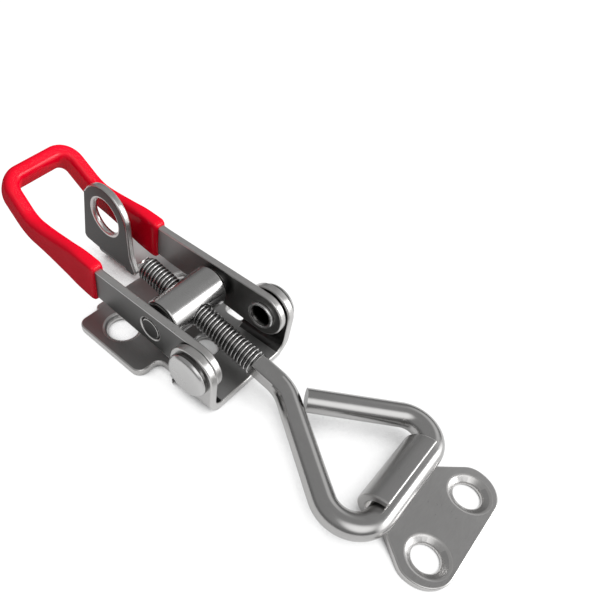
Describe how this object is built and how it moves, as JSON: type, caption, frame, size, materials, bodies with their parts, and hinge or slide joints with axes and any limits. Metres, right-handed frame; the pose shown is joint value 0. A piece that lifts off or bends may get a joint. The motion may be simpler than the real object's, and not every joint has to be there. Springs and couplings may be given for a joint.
{
  "type": "over centre toggle latch",
  "caption": "Steel over centre toggle latch: a folded lever with a dipped grip draws an adjustable screw hook over a curled catch plate; a tab beside the screw takes a padlock.",
  "frame": {"origin": "on the mounting face, straight under the handle's pivot, in the middle of the latch", "axes": "+X from the handle towards the hook and catch, +Z away from the mounting face, +Y across the latch along the pivot"},
  "size_m": [0.1375, 0.0374, 0.0261],
  "materials": {
    "bracket_steel": "satin pressed sheet",
    "rivet_steel": "polished",
    "lever_steel": "satin pressed sheet",
    "grip_vinyl": "glossy dipped vinyl",
    "turned_steel": "fine turned",
    "rod_steel": "drawn bright"
  },
  "bodies": {
    "base": {"base_bracket": "bracket_steel", "pivot_rivet_near": "rivet_steel", "pivot_rivet_far": "rivet_steel"},
    "lever": {"lever_frame": "lever_steel", "grip_sleeve": "grip_vinyl"},
    "barrel": {"trunnion_barrel": "turned_steel"},
    "hook": {"screw_hook": "rod_steel"},
    "catch": {"catch_plate": "bracket_steel"}
  },
  "joints": [
    {"name": "lever_pivot", "type": "hinge", "parent": "base", "child": "lever", "pos_m": [0, 0, 0.0109], "axis": [0, 1, 0], "range_deg": [0, 160]},
    {"name": "barrel_turn", "type": "hinge", "parent": "lever", "child": "barrel", "pos_m": [-0.015, 0, 0.0115], "axis": [0, 1, 0], "range_deg": [-160, 0]},
    {"name": "screw_adjust", "type": "slide", "parent": "barrel", "child": "hook", "axis": [0.9845, 0, -0.1754], "range_m": [-0.006, 0.008]},
    {"name": "catch_swing", "type": "hinge", "parent": "hook", "child": "catch", "pos_m": [0.0462, 0, 0.00515], "axis": [0, 1, 0], "range_deg": [-30, 45]}
  ],
  "couplings": [
    {"joint": "barrel_turn", "follows": "lever_pivot", "ratio": -1}
  ]
}
